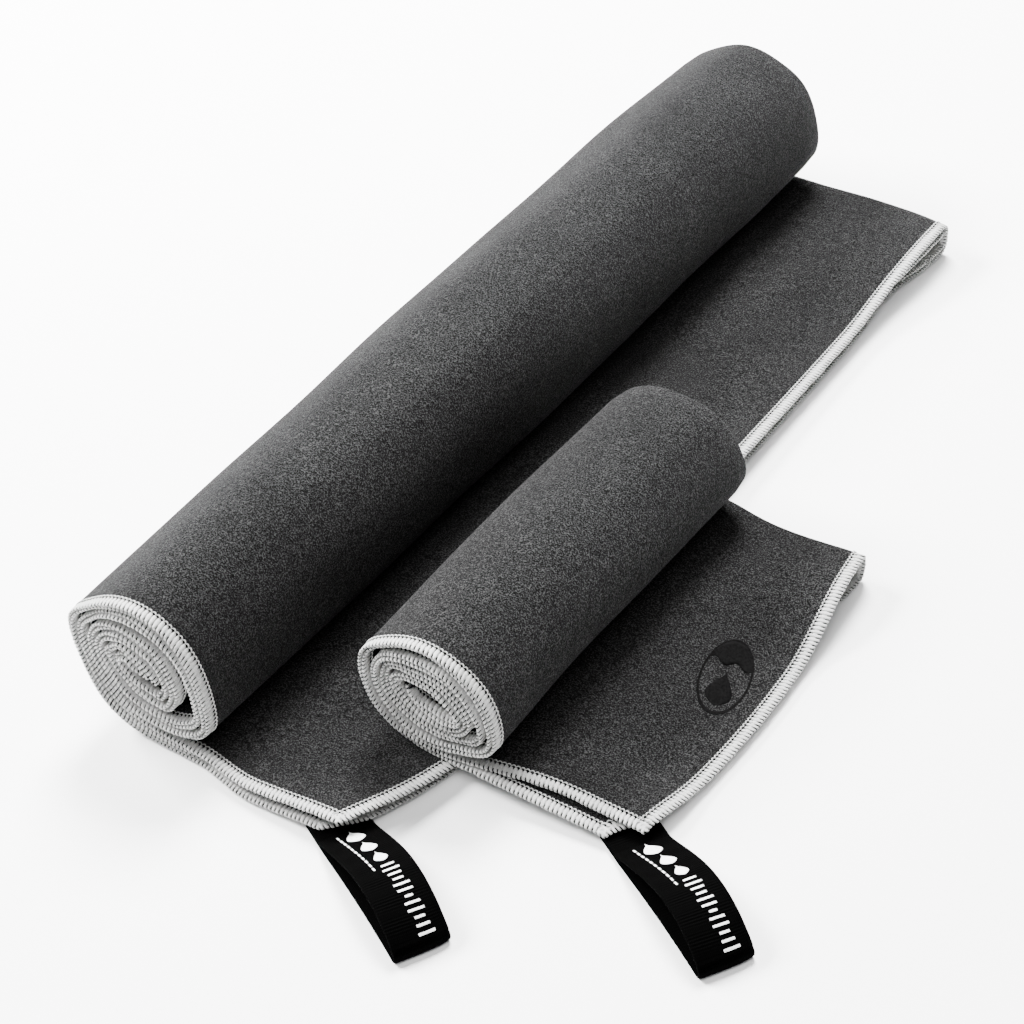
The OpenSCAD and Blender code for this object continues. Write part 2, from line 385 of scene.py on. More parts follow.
class Towel:
    """One towel's folded, rolled cloth as a mapping from (p, y, depth) to space.

    Each subclass gives the numbers of its towel, in millimetres where nothing else is said:
    reach: from the roll's middle to the free end's hem. bend: the length of the bend as the free end lifts.
    slack, slack_shift: how far the inner turns are drawn in, in x and z, and their shift as a share of that.
    swell, ridge, shoulder: heights of the roll's swells and lengthwise ridges, and drop of its far edge.
    near_scale, far_scale: size of the section at the two ends, in x and z, as a share of the frame's.
    reach: from the roll's middle to the free end's hem. bend: meant as the length of the bend as the free end
    lifts, but not used.
    sway, slump: shift of the section in x, and its lean as a share, at the near and the far end.
    telescope: how far the turns slide along the roll.
    row_step, angle_step: spacing of the mesh along y, and in degrees round the roll.
    corner_pull: how far the end hem is drawn in at the near corner. far_slant: how far the free end's far
    edge slants in along y. corner_height: lift of the near corner, and of the upper layers beyond that.
    fold_height, fold_out: how far the far fold stands open, and the share of that it is drawn out along y.
    """

    def __init__(self, name, layers, turns, seed):
        self.name = name
        self.turns = turns
        self.seed = seed
        roll_low, roll_high = box_mm(f"{name}_roll")
        self.near_y = box_mm(f"{name}_roll_hems")[0][1]
        self.far_y = roll_high[1]
        hinge, _ = joint_mm(f"{name}_flap_lift")
        self.joint_x = hinge[0]
        self.base_z = roll_low[2]
        self.pack = hinge[2] - roll_low[2]
        self.pitch = self.pack / layers
        self.half = np.array([roll_high[0] - roll_low[0], roll_high[2] - roll_low[2]]) / 2
        self.middle_x = (roll_low[0] + roll_high[0]) / 2
        self.end_x = self.middle_x + self.reach
        self.trace_line()

    def trace_line(self):
        """The pack's mid-line in x and z, and its angle, against p from the nominal end line to the core."""
        turn = self.pack + TURN_GAP
        half = self.half + np.array([TURN_GAP / 2, turn / 4 - self.pack / 2])
        centre = np.array([self.middle_x + turn / 4, self.base_z + half[1] + self.pack / 2])
        flat_x = np.arange(self.end_x, centre[0], -LINE_STEP)
        flat = np.stack([flat_x, self.drop(flat_x) + self.pack / 2], 1)
        angle = np.radians(np.arange(0, self.turns * 360 + 1, 1.0))
        slack = rise(angle / TURN, *SLACK_TURNS)
        a = half[0] - turn * angle / TURN - slack * self.slack[0]
        b = half[1] - turn * angle / TURN - slack * self.slack[1]
        shift = slack[:, None] * self.slack * self.slack_shift
        spiral = centre + shift - np.stack([a * np.sin(angle), b * np.cos(angle)], 1)
        self.line = np.concatenate([flat, spiral])
        step = np.linalg.norm(np.diff(self.line, axis=0), axis=1)
        self.line_p = np.concatenate([[0], np.cumsum(step)])
        self.line_angle = np.concatenate([np.zeros(len(flat)), angle])
        self.tail_p = self.line_p[len(flat)]

    def drop(self, x):
        """Height of the free end's underside above the floor."""
        return np.full(np.shape(x), self.base_z)

    def place(self, p, y, depth):
        """Points of the cloth, for arrays of p, y and depth in the pack."""
        p, y, depth = np.broadcast_arrays(p, y, depth)
        along = (y - self.near_y) / (self.far_y - self.near_y)
        pulled = p + (self.end_pull(y) + self.inset(y, depth)) * fall(p, 0, END_REACH)
        x = np.interp(pulled, self.line_p, self.line[:, 0]) - np.minimum(pulled, 0)
        z = np.interp(pulled, self.line_p, self.line[:, 1])
        angle = np.interp(pulled, self.line_p, self.line_angle)
        rolled = rise(angle, 0, ROLLED_ANGLE)
        free = fall(pulled, self.tail_p + FREE_REACH[0], self.tail_p + FREE_REACH[1])
        near_end = fall(along, 0, NEAR_SHARE)
        # uneven rolling: swells and lengthwise ridges that every turn shares, and layers that part a little
        around = angle * SWELL_RADIUS
        layer_around = angle * LAYER_RADIUS
        swell = self.swell * waves(around, y, self.seed, longest=190, shortest=60)
        ridge = self.ridge * waves(around, y * RIDGE_STRETCH, self.seed + 1, longest=48, shortest=16)
        parting = waves(layer_around, depth * PARTING_SHIFT, self.seed + 9, longest=70, shortest=24)
        # the layers lie in close pairs, with air between the pairs
        paired = depth + PAIRING * self.pitch * np.sin(math.pi * depth / self.pitch)
        shoulder = self.shoulder * rise(y, self.far_y - SHOULDER_LENGTH, self.far_y) ** 2
        uneven = swell + ridge + PARTING * parting * near_end - shoulder
        out = self.pack / 2 - paired + uneven * rolled
        out_x = x - np.sin(angle) * out
        out_z = z - np.cos(angle) * out
        # the section is an oval that leans down to the right and grows towards the far end
        tall = 2 * self.half[1]
        level = np.clip((out_z - self.base_z) / tall, 0, 1)
        aside = (out_x - self.middle_x) / self.half[0]
        slump = between(self.slump, along) * tall / 2 * np.sin(math.pi * level) ** SLUMP_POWER
        out_z = out_z - slump * aside * rolled
        larger = along + self.bulge * np.sin(math.pi * along)
        scale = 1 + (between((self.near_scale, self.far_scale), larger[..., None]) - 1) * rolled[..., None]
        sway = between(self.sway, along) * rolled
        out_x = self.middle_x + (out_x - self.middle_x) * scale[..., 0] + sway
        out_z = self.base_z + (out_z - self.base_z) * scale[..., 1]
        # turns and layers slide a little past each other along the roll
        creep = waves(layer_around, depth * SLIDE_SHIFT, self.seed + 12, longest=110, shortest=40)
        slide = (self.telescope * np.sin(angle * SLIDE_RATE + self.seed) + LAYER_SLIDE * creep) * rolled
        near = fall(y, self.near_y, self.near_y + NEAR_REACH)
        out_y = y + slide * near_end + self.near_shift(pulled, depth) * near
        points = np.stack([out_x, out_y, out_z], -1)
        self.shape_free_end(pulled, y, depth, free, points)
        return points

    def rows(self, fold):
        """y and depth across one folded sheet, from near edge round the far fold to the near edge again.
        fold counts the layers outside the sheet."""
        first = (fold + 0.5) * self.pitch
        last = self.pack - first
        radius = (last - first) / 2
        start = self.near_y + EDGE
        stop = self.far_y - radius - fold * self.pitch * FOLD_NEST
        even = np.linspace(start + EVEN_ROWS_FROM, stop, int((stop - start) / self.row_step))
        leg = np.concatenate([start + np.array(HEM_ROWS), even])
        turn = np.linspace(0, math.pi, FOLD_STEPS)[1:-1]
        y = np.concatenate([leg, stop + radius * np.sin(turn), leg[::-1]])
        depth = np.concatenate([np.full(len(leg), first), (first + last) / 2 - radius * np.cos(turn),
                                np.full(len(leg), last)])
        return y, depth

    def columns(self):
        """p along the sheet: even on the free end, then by angle round the roll."""
        flat = np.arange(EDGE, self.tail_p, COLUMN_STEP)
        angles = np.radians(np.arange(FIRST_COLUMN_ANGLE, self.turns * 360, self.angle_step))
        in_roll = self.line_p >= self.tail_p
        return np.concatenate([flat, np.interp(angles, self.line_angle[in_roll], self.line_p[in_roll])])


def crease(points, start, end, width):
    """How much of a soft crease from start to end, in x and y, is at each point. It fades at both ends."""
    start, end = np.array(start), np.array(end)
    way = end - start
    t = np.clip(((points[..., :2] - start) @ way) / (way @ way), 0, 1)
    away = np.linalg.norm(points[..., :2] - start - t[..., None] * way, axis=-1)
    return hump(away, 0, width) * np.sin(math.pi * (0.15 + 0.7 * t))


class LargeTowel(Towel):
    """The large towel, with four layers in its pack."""

    reach = 98
    bend = 8
    slack = np.array([3.0, 1.7])
    slack_shift = np.array([-0.9, 0.1])
    swell = 0.45
    ridge = 0.75
    shoulder = 1.0
    near_scale = np.array([0.87, 0.99])
    far_scale = np.array([1.06, 1.09])
    bulge = 0.3
    sway = (-2.3, 4.1)
    slump = (0.4, 0.2)
    telescope = 0.9
    row_step = 9.0
    angle_step = 5.0
    corner_pull = 21
    far_slant = 13
    corner_height = (2.3, 0.8)
    fold_height = 5.5
    fold_out = 0.4
    # where the far end leaves the roll: its height, and how far it is drawn out along y
    root_height = 1.8
    root_out = 4.5
    far_out = 1.8  # how far the end hem is let out at the far corner
    pressed = 0.35  # share of its height that the free end loses, pressed flat, towards the near edge
    second_opening = 0.16  # extra opening of the uppermost layer at the far fold, as a share
    # how far each layer stands in at the near face and at the end hem, from the bottom layer to the top one
    near_stagger = (-1.2, 6.5, 4.5, 0.0)
    end_stagger = (1.5, 3.5, 2.5, 0.0)
    # creases on the free end: start and end in x and y, width, and share of the full height
    creases = (((-64, 186), (-44, 132), 6.5, 1.0), ((-28, 162), (-38, 116), 7.5, 0.8))
    crease_height = 1.9

    def end_pull(self, y):
        """How far the end hem is drawn in at the near corner and let out at the far one."""
        near_corner = self.corner_pull * (1 - eased((y - self.near_y + 3) / 80))
        return near_corner - self.far_out * rise(y, self.far_y - 60, self.far_y)

    def near_shift(self, p, depth):
        """How far the near edge of each layer stands in along y."""
        layer = depth / self.pitch - 0.5
        stagger = np.interp(layer, range(4), self.near_stagger) * fall(p, 50, 85)
        return stagger - 3.6 * fall(p, 55, 80) + 0.4 * np.sin(p / 17 + depth)

    def inset(self, y, depth):
        """How far the end hem of each layer is drawn in, at the near corner and under the far fold."""
        layer = depth / self.pitch - 0.5
        stagger = np.interp(layer, range(4), self.end_stagger) * fall(y, self.far_y - 60, self.far_y - 15)
        cut_corner = 6 * fall(y, self.near_y - 4, self.near_y + 14) * fall(layer, 2, 3)
        under_fold = 3.5 * hump(y, self.far_y - 38, 20) * fall(layer, 1, 2)
        return stagger + cut_corner + under_fold

    def shape_free_end(self, p, y, depth, free, points):
        """Waves, creases and lifts of the free end, added in place. There the pack's outer face is below, so
        depth is the height above it."""
        upper = depth / self.pack
        share = between((0.3, 1.0), upper)
        wave = (waves(p, y, self.seed + 5, longest=150, shortest=50) + 0.9) * rise(p, 0, 25)
        edge = (np.sin(y / 31 + 1) + 1) * fall(p, 0, 30)
        pressed = self.pressed * fall(y, self.near_y + 60, self.near_y + 130)
        corner = hump(p, 20, 26) * hump(y, self.near_y, 26)
        open_fold = self.fold_height * rise(y, self.far_y - 85, self.far_y - 10) * fall(p, 0, 60)
        root = hump(p, 42, 34) * rise(y, self.far_y - 60, self.far_y)
        points[..., 2] += (0.5 * (wave + edge) * share - depth * pressed) * free
        points[..., 2] += corner * (self.corner_height[0] + self.corner_height[1] * rise(upper, 0.15, 0.35))
        opening = rise(upper, 0.3, 0.7) + self.second_opening * rise(upper, 0.6, 0.8)
        points[..., 2] += open_fold * opening
        drawn_out = self.fold_out * open_fold * np.sin(math.pi * upper)
        points[..., 1] += drawn_out * rise(y, self.far_y - 25, self.far_y)
        creased = sum(part * crease(points, start, end, width) for start, end, width, part in self.creases)
        points[..., 2] += (self.root_height * root + self.crease_height * creased * free) * share
        slant = self.far_slant * np.clip(1 - p / 95, 0, 1) * rise(y, self.far_y - 170, self.far_y)
        points[..., 1] += self.root_out * root - slant


class SmallTowel(Towel):
    """The small towel, with two layers in its pack. It lies on the large one's free end."""

    reach = 77
    bend = 7
    slack = np.array([0.6, 0.3])
    slack_shift = np.array([-0.3, 0.0])
    swell = 0.4
    ridge = 0.55
    shoulder = 1.0
    near_scale = np.array([0.915, 1.0])
    far_scale = np.array([0.99, 1.0])
    bulge = 0.2
    sway = (-2.4, 1.0)
    slump = (0.27, 0.2)
    telescope = 0.6
    row_step = 6.0
    angle_step = 6.0
    corner_pull = 1.5
    far_slant = 5
    corner_height = (2.2, 0.8)
    fold_height = 9.0
    fold_out = 0.4
    end_bow = 5

    def drop(self, x):
        """The free end comes down off the large towel to the floor."""
        return self.base_z * fall(x, self.joint_x - 3, self.joint_x + 55)

    def end_pull(self, y):
        """How far the end hem is drawn in at the near corner, and bowed out between the corners."""
        along = (y - self.near_y) / (self.far_y - self.near_y)
        bow = self.end_bow * np.sin(math.pi * np.clip(along, 0, 1))
        return self.corner_pull * (1 - eased((y - self.near_y - 3) / 30)) - bow

    def near_shift(self, p, depth):
        """How far the near edge of each layer stands in along y."""
        bottom = 0.4 * fall(p, 20, 60)
        top = 7.5 * fall(p, 25, 75)
        return np.where(depth < self.pack / 2, bottom, top) + 0.4 * np.sin(p / 13 + depth)

    def inset(self, y, depth):
        """How far the bottom layer's end hem is drawn in, at the near corner and under the far fold."""
        layer = depth / self.pitch - 0.5
        before_fold = 2.5 * fall(y, self.far_y - 45, self.far_y - 10)
        cut_corner = 8 * fall(y, self.near_y, self.near_y + 20)
        under_fold = 6.5 * hump(y, self.far_y - 28, 16)
        return (before_fold + cut_corner + under_fold) * fall(layer, 0, 1)

    def shape_free_end(self, p, y, depth, free, points):
        """Waves, sag and lifts of the free end, added in place. depth is the height in the pack, as above."""
        upper = depth / self.pack
        wave = (waves(p, y, self.seed + 5, longest=110, shortest=40) + 0.9) * rise(p, 0, 20)
        corner = hump(p, 6, 17) * hump(y, self.near_y + 8, 17)
        open_fold = self.fold_height * rise(y, self.far_y - 60, self.far_y - 10) * fall(p, 0, 48)
        low = 1 - np.clip((points[..., 2] - self.base_z) / (2 * self.half[1]), 0, 1)
        sag = (1.5 + 1.6 * low) * fall(y, self.near_y, self.near_y + 60) * rise(p, 20, 60)
        points[..., 2] += 0.7 * wave * between((0.2, 0.7), upper) * free - sag
        opening = (self.corner_height[1] * corner + open_fold) * rise(upper, 0.3, 0.7)
        points[..., 2] += self.corner_height[0] * corner + opening
        drawn_out = self.fold_out * open_fold * np.sin(math.pi * upper)
        points[..., 1] += drawn_out * rise(y, self.far_y - 20, self.far_y)
        points[..., 1] -= self.far_slant * fall(p, 0, 60) * rise(y, self.far_y - 80, self.far_y)


large = LargeTowel("large", layers=4, turns=2.75, seed=11)
small = SmallTowel("small", layers=2, turns=4.3, seed=23)


def towel_blend(piece):
    """Bakes the piece's placement into its points. It adds no bend where the free end leaves the roll."""
    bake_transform(piece)


def folded_sheet(towel, folds):
    """Points of a towel's one sheet. folds lists the sheet's passes from the free end to the core, outermost
    first, and each second pass comes back from the core to the free end."""
    p = towel.columns()
    parts = []
    for number, fold in enumerate(folds):
        y, depth = towel.rows(fold)
        grid = towel.place(p[:, None], y[None], depth[None])
        parts.append(grid if number % 2 == 0 else grid[::-1])
    return np.concatenate(parts), p


def sheet_uv(grid):
    """UVs in millimetres along the cloth."""
    rows = np.linalg.norm(np.diff(grid[:, :1], axis=0), axis=-1).cumsum(0)
    u = np.concatenate([[[0]], rows])[:, 0]
    columns = np.linalg.norm(np.diff(grid[:1], axis=1), axis=-1).cumsum(1)
    v = np.concatenate([[[0]], columns], axis=1)[0]
    return np.stack(np.broadcast_arrays(u[:, None], v[None]), -1), u[-1], v[-1]


def cloth_piece(towel, folds, replaced):
    """A towel's cloth as one piece, and its flat width and length in metres."""
    grid, p = folded_sheet(towel, folds)
    uv, length, width = sheet_uv(grid)
    y = towel.rows(folds[0])[0]
    inside = np.minimum(p[:, None], y[None] - towel.near_y)
    past_hem = rise(inside, HEM_WIDTH + THIN_FADE[0], HEM_WIDTH + THIN_FADE[1])
    thickness = CLOTH_THICKNESS * between((THIN_UNDER_HEM, 1), past_hem)
    passes = [thickness if number % 2 == 0 else thickness[::-1] for number in range(len(folds))]
    thickness = np.concatenate(passes)
    piece = thick_sheet(f"{towel.name}_towel_cloth", grid, thickness[..., None], cloth_look, uv)
    towel_blend(piece)
    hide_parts(*replaced)
    return piece, (round(width * MM, 3), round(length * MM, 3))


# ---------------------------------------------------------------- hems


STITCH_PITCH = 1.6
HEM_HALF_THICKNESS = 0.6
EDGE_STEP = 0.6

# a stitch's flat rib, which wraps the edge: v is the distance in from the edge
RIB_STEPS = 12
RIB_SIDES = 6
RIB_HALF_THICKNESS = 0.21
RIB_MIDDLE = 1.75
RIB_REACH = 1.95
RIB_WIDTHS = (0.35, 0.43)  # half widths at the edge and from RIB_WIDE_FROM on, as shares of the pitch
RIB_WIDE_FROM = 1.4
RIB_SQUARE = (0.62, 0.45)  # powers that square the path off, in v and through the cloth
RIB_LEAN = 0.55
REACH_SPREAD = 0.1
WIDTH_SPREAD = 0.06

# the looped thread at the ribs' inner ends, and the thread packed under the ribs
CHAIN_STEPS = 6
CHAIN_SIDES = 5
CHAIN_HALF = (0.24, 0.2)
CHAIN_DEPTH = 0.7
CHAIN_ROUND = 0.8
CHAIN_GAP = 0.1
CORE_STEP = 2.0
CORE_SIDES = 8
CORE_MIDDLE = 2.0
CORE_HALF = (1.15, HEM_HALF_THICKNESS - 0.13)

HEM_COLUMN_STEP = 1.5
END_HEM_FINER = 4
END_HEM_SEED = 31


def edge_frames(edge, inside):
    """Even samples along an edge: place, way along it, way into the cloth, and normal."""
    s = np.concatenate([[0], np.cumsum(np.linalg.norm(np.diff(edge, axis=0), axis=1))])
    even = np.arange(0, s[-1], EDGE_STEP)
    at = np.stack([np.interp(even, s, edge[:, i]) for i in range(3)], 1)
    to = np.stack([np.interp(even, s, inside[:, i]) for i in range(3)], 1)
    along = unit(np.gradient(at, axis=0))
    inward = unit(to - at)
    inward = unit(inward - along * (inward * along).sum(1, keepdims=True))
    return even, at, along, inward, np.cross(along, inward)


def squared(wave, power):
    """A wave between -1 and 1 with its tops and bottoms made broader."""
    return np.sign(wave) * np.abs(wave) ** power


def hem_geometry(edge, inside, seed):
    """Overlock stitches round an edge: flat ribs wrapped over it, a looped line along their inner ends, and
    the thread packed under them."""
    even, *tables = edge_frames(edge, inside)
    rng = np.random.default_rng(seed)
    stitches = int(even[-1] / STITCH_PITCH)
    pitch = even[-1] / stitches
    knots = np.arange(stitches + 2)

    def frames(where):
        """Place, way along, way inward and normal at distances along the edge."""
        return [np.stack([np.interp(where, even, table[:, i]) for i in range(3)], 1) for table in tables]

    t = np.arange(stitches * RIB_STEPS + 1) / RIB_STEPS
    place, along, inward, normal = frames(t * pitch)
    c, s = np.cos(TURN * t), np.sin(TURN * t)
    reach = RIB_REACH + np.interp(t, knots, rng.normal(0, REACH_SPREAD, len(knots)))
    fat = 1 + np.interp(t, knots, rng.normal(0, WIDTH_SPREAD, len(knots)))
    v = RIB_MIDDLE + reach * squared(c, RIB_SQUARE[0])
    w = (HEM_HALF_THICKNESS - RIB_HALF_THICKNESS) * squared(s, RIB_SQUARE[1])
    path = place + inward * v[:, None] + normal * w[:, None]
    ring = unit(np.stack([c * RIB_LEAN, s], 1))
    outward = inward * ring[:, :1] + normal * ring[:, 1:]
    wide = STITCH_PITCH * between(RIB_WIDTHS, rise(v, 0, RIB_WIDE_FROM)) * fat
    parts = [tube(path, along, outward, wide, RIB_HALF_THICKNESS * fat, RIB_SIDES)]

    t = np.arange(stitches * CHAIN_STEPS + 1) / CHAIN_STEPS
    place, _, inward, normal = frames(t * pitch)
    v = HEM_WIDTH - CHAIN_DEPTH / 2 + CHAIN_DEPTH * np.abs(np.sin(math.pi * t)) ** CHAIN_ROUND
    for side in (1, -1):
        line = place + inward * v[:, None] + normal * side * (CLOTH_THICKNESS / 2 + CHAIN_GAP)
        parts.append(tube(line, inward, normal, *CHAIN_HALF, CHAIN_SIDES))

    # short of the edge, so that the gaps between the ribs stay dark there
    place, _, inward, normal = frames(np.arange(0, even[-1], CORE_STEP))
    parts.append(tube(place + inward * CORE_MIDDLE, inward, normal, *CORE_HALF, CORE_SIDES))
    return join(parts)


def hem_piece(name, geometry, replaced):
    """One hem of thread, with its placement baked into its points."""
    piece = mesh_piece(name, *geometry, thread_look)
    towel_blend(piece)
    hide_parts(*replaced)
    return piece


def side_hem(towel, fold, top):
    """Hem along a near edge of the sheet, from the free end to the core."""
    depth = (fold + 0.5) * towel.pitch
    depth = towel.pack - depth if top else depth
    columns = towel.columns()
    p = np.concatenate([np.arange(EDGE, towel.tail_p, HEM_COLUMN_STEP), columns[columns >= towel.tail_p]])
    edge = towel.place(p, towel.near_y + EDGE, depth)
    inside = towel.place(p, towel.near_y + HEM_WIDTH, depth)
    return hem_geometry(edge, inside, towel.seed + fold * 2 + top)


def end_hem(towel, fold):
    """Hem along the free end's edge, round the far fold."""
    y, depth = towel.rows(fold)
    fine = np.linspace(0, len(y) - 1, len(y) * END_HEM_FINER)
    y, depth = (np.interp(fine, np.arange(len(y)), v) for v in (y, depth))
    edge = towel.place(EDGE, y, depth)
    inside = towel.place(HEM_WIDTH, y, depth)
    return hem_geometry(edge, inside, towel.seed + END_HEM_SEED + fold)


def sheet_hems(towel, fold, which=""):
    """The two near hems and the end hem of one fold of a towel."""
    sides = [f"{towel.name}_roll_hems", f"{towel.name}_side_hems"]
    pieces = []
    for top, level in ((False, "lower"), (True, "upper")):
        name = f"{towel.name}_side_hem{which}_{level}"
        pieces.append(hem_piece(name, side_hem(towel, fold, top), sides))
    end = f"{towel.name}_end_hem{which}"
    pieces.append(hem_piece(f"{end}_thread", end_hem(towel, fold), [end]))
    return pieces


# ---------------------------------------------------------------- hanging loops


class Loop:
    """A webbing loop: both ends under the towel's corner, out to a folded tip, and back over an arch."""

    width = 19.5
    thickness = 1.15
    tip_radius = 1.5
    tab = 13
    # powers that place the top of each edge's arch along the loop, and that broaden it
    near_arch = (1.3, 0.75)
    far_arch = (1.16, 0.95)
    arch_from = -3  # where the arch begins, along the loop from its seam
    bow = 0.5
    drift = 0.03  # sideways shift for each millimetre along
    corner_in = 1.2
    corner_power = 5
    corner_length = 12
    # mesh: step along it, and across it the places as shares of half the width with shares of the thickness
    step = 0.28
    tip_steps = 15
    across_places = np.array([-1, -0.97, -0.88, -0.6, -0.3, 0, 0.3, 0.6, 0.88, 0.97, 1])
    across_thickness = np.array([0.35, 0.8, 1, 1, 1, 1, 1, 1, 1, 0.8, 0.35])
    rib_pitch = 1.12
    rib_height = 0.14
    floor_gap = 0.04
    gap = 0.1  # between the legs at the seam, and between the webbing and its print

    def __init__(self, towel):
        hinge, axis = joint_mm(f"{towel.name}_loop_swing")
        self.hinge = hinge * np.array([1, 1, 0])
        self.along = np.array([-axis[1], axis[0], 0])
        self.across = np.array([-self.along[1], self.along[0], 0])
        low, high = box_mm(f"{towel.name}_loop")
        # the CAD loop fills a turned rectangle, so its length comes out of its box
        c, d = abs(self.along[:2])
        self.length = ((high - low)[0] * c - (high - low)[1] * d) / (c * c - d * d)
        self.rise = high[2] - hinge[2]

    def above(self, s, side):
        """Height of the upper leg's middle surface. One edge stays high nearly to the tip, and the other
        comes down sooner."""
        t = np.clip((s - self.arch_from) / (self.length - self.arch_from), 0, 1)
        arches = [np.sin(math.pi * t ** place) ** broad for place, broad in (self.near_arch, self.far_arch)]
        root = 1.5 * self.thickness + self.gap
        tip = 0.5 * self.thickness + 2 * self.tip_radius
        return between((root, tip), rise(t, 0, 1)) + self.rise * between(arches, side / self.width + 0.5)

    def at(self, s, side, z):
        """Point at s along, side across and height z. The loop bows a little, and one corner is drawn in."""
        s, side, z = np.broadcast_arrays(s, side, z)
        bow = self.bow * np.sin(math.pi * np.clip(s / self.length, 0, 1)) + self.drift * s
        outer = np.clip(side / self.width + 0.5, 0, 1)
        tip_end = rise(s, self.length - self.corner_length, self.length)
        corner = self.corner_in * outer ** self.corner_power * tip_end
        return (self.hinge + self.along * (s - corner)[..., None] + self.across * (side + bow)[..., None]
                + np.array([0, 0, 1]) * z[..., None])

    def ribbon(self, name):
        """The webbing as one closed piece, and its flat length."""
        out = np.arange(-self.tab, self.length - self.tip_radius, self.step)
        turn = np.linspace(-math.pi / 2, math.pi / 2, self.tip_steps)[1:-1]
        sides = self.across_places * self.width / 2
        fill = self.across_thickness
        s = np.concatenate([out, self.length - self.tip_radius * (1 - np.cos(turn)), out[::-1]])
        level = np.concatenate([np.zeros(len(out)), self.tip_radius * (1 + np.sin(turn))])
        level = level + self.thickness / 2 + self.floor_gap
        low = np.broadcast_to(level[:, None], (len(level), len(sides)))
        high = self.above(out[::-1, None], sides[None])
        grid = self.at(s[:, None], sides[None], np.concatenate([low, high]))
        walk = np.linalg.norm(np.diff(grid[:, len(sides) // 2], axis=0), axis=1).cumsum()
        walk = np.concatenate([[0], walk])
        rib = self.rib_height * np.cos(TURN * walk / self.rib_pitch)[:, None] * (fill == 1)[None]
        thickness = (self.thickness * fill[None] + rib)[..., None]
        uv = np.stack(np.broadcast_arrays(walk[:, None], sides[None]), -1)
        return thick_sheet(name, grid, thickness, webbing_look, uv), walk[-1]

    def on_top(self, s, side, lift):
        """Points just above the upper leg, whose slope is measured over a short distance either way."""
        near = 0.1
        along = (self.above(s + near, side) - self.above(s - near, side)) / (2 * near)
        across = (self.above(s, side + near) - self.above(s, side - near)) / (2 * near)
        slope = np.sqrt(1 + along ** 2 + across ** 2)
        return self.at(s, side, self.above(s, side) + (self.thickness / 2 + self.gap + lift) * slope)


def loop_blend(piece):
    """Bakes the piece's placement into its points. It adds no bend at the seam."""
    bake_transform(piece)


PATCH_COLUMNS = 7

# a drop's outline: powers that place its broad part and that round it, how blunt its point is, and how narrow
DROP_PLACE = 1.9
DROP_ROUND = 0.75
DROP_POINT = 3.2
DROP_LEAST = 0.02


def patch(place, outline_low, outline_high, steps, thickness):
    """Points and faces of a thin printed shape between two edges, each a function of t from 0 to 1."""
    t = np.linspace(0, 1, steps)
    share = np.linspace(0, 1, PATCH_COLUMNS)
    low, high = outline_low(t), outline_high(t)
    flat = low[:, None] + (high - low)[:, None] * share[None, :, None]
    return closed_sheet(place(flat[..., 0], flat[..., 1], thickness), place(flat[..., 0], flat[..., 1], 0.0))


def bar(s0, s1, side0, side1):
    """Edges of a straight bar."""
    return (lambda t: np.stack([s0 + (s1 - s0) * t, np.full(len(t), side0)], 1),
            lambda t: np.stack([s0 + (s1 - s0) * t, np.full(len(t), side1)], 1))


def drop_shape(s0, length, middle, half_width, way=1):
    """Edges of a water drop whose point is at s0. way is the direction in which it grows round."""

    def half(t):
        rounded = np.sin(math.pi * t ** DROP_PLACE) ** DROP_ROUND
        return half_width * rounded * np.clip(t * DROP_POINT, 0, 1) + DROP_LEAST

    def place(sign):
        return lambda t: np.stack([s0 + way * length * t, middle + sign * half(t)], 1)

    return place(-1), place(1)


# ---------------------------------------------------------------- build the towels

large_cloth, large_flat = cloth_piece(large, [0, 1], ["large_roll", "large_flap_outer", "large_flap_inner"])
small_cloth, small_flat = cloth_piece(small, [0], ["small_roll", "small_flap"])

large_hems = sheet_hems(large, 0, "_outer") + sheet_hems(large, 1, "_inner")
small_hems = sheet_hems(small, 0)


# ---------------------------------------------------------------- build the loops


# places and sizes on a loop, from its seam outwards and from its middle line
MARK_THICKNESS = 0.1
MARK_STEPS = 26
MARK_SHIFT = 0.6
MARK_SLANT = 0.042
DROPS = ((-2.6, 7.8, 3.0), (6.8, 6.8, 2.6), (15.2, 5.8, 2.2))  # start, length and half width
BARS = 12
BARS_FROM = 23.2
BAR_PITCH = 2.35
BAR_WIDTH = 0.7
BAR_LEAST = 1.3  # half height of the shortest bar, and how much the ripple adds to it
BAR_RIPPLE = 1.5
RIPPLE_RATE = 0.95
RIPPLE_START = 0.6
DASHES = 11
DASHES_FROM = -1.2
DASH_PITCH = 2.4
DASH_LENGTH = 1.5
DASH_EDGES = (-4.9, -4.35)


def loop_mark(loop):
    """An abstract printed row: three drops that get smaller, bars like a ripple, and a dashed line beside."""
    shapes = [drop_shape(start, length, 0, half_width) for start, length, half_width in DROPS]
    for i in range(BARS):
        start = BARS_FROM + BAR_PITCH * i
        tall = BAR_LEAST + BAR_RIPPLE * abs(math.sin(i * RIPPLE_RATE + RIPPLE_START))
        shapes.append(bar(start, start + BAR_WIDTH, -tall, tall))
    for i in range(DASHES):
        start = DASHES_FROM + DASH_PITCH * i
        shapes.append(bar(start, start + DASH_LENGTH, *DASH_EDGES))

    def slanted(s, side, lift):
        return loop.on_top(s, side + MARK_SHIFT + MARK_SLANT * s, lift)

    return join([patch(slanted, low, high, MARK_STEPS, MARK_THICKNESS) for low, high in shapes])


for towel in (large, small):
    loop = Loop(towel)
    webbing, webbing_length = loop.ribbon(f"{towel.name}_hanging_loop")
    loop_blend(webbing)
    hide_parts(f"{towel.name}_loop", f"{towel.name}_loop_tab")
    mark = mesh_piece(f"{towel.name}_loop_mark", *loop_mark(loop), print_look)
    loop_blend(mark)
    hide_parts(f"{towel.name}_loop_print")
    stitches = frame["nodes"][f"{towel.name}_loop_stitches"]
    stitches.data.materials.clear()
    stitches.data.materials.append(webbing_look)


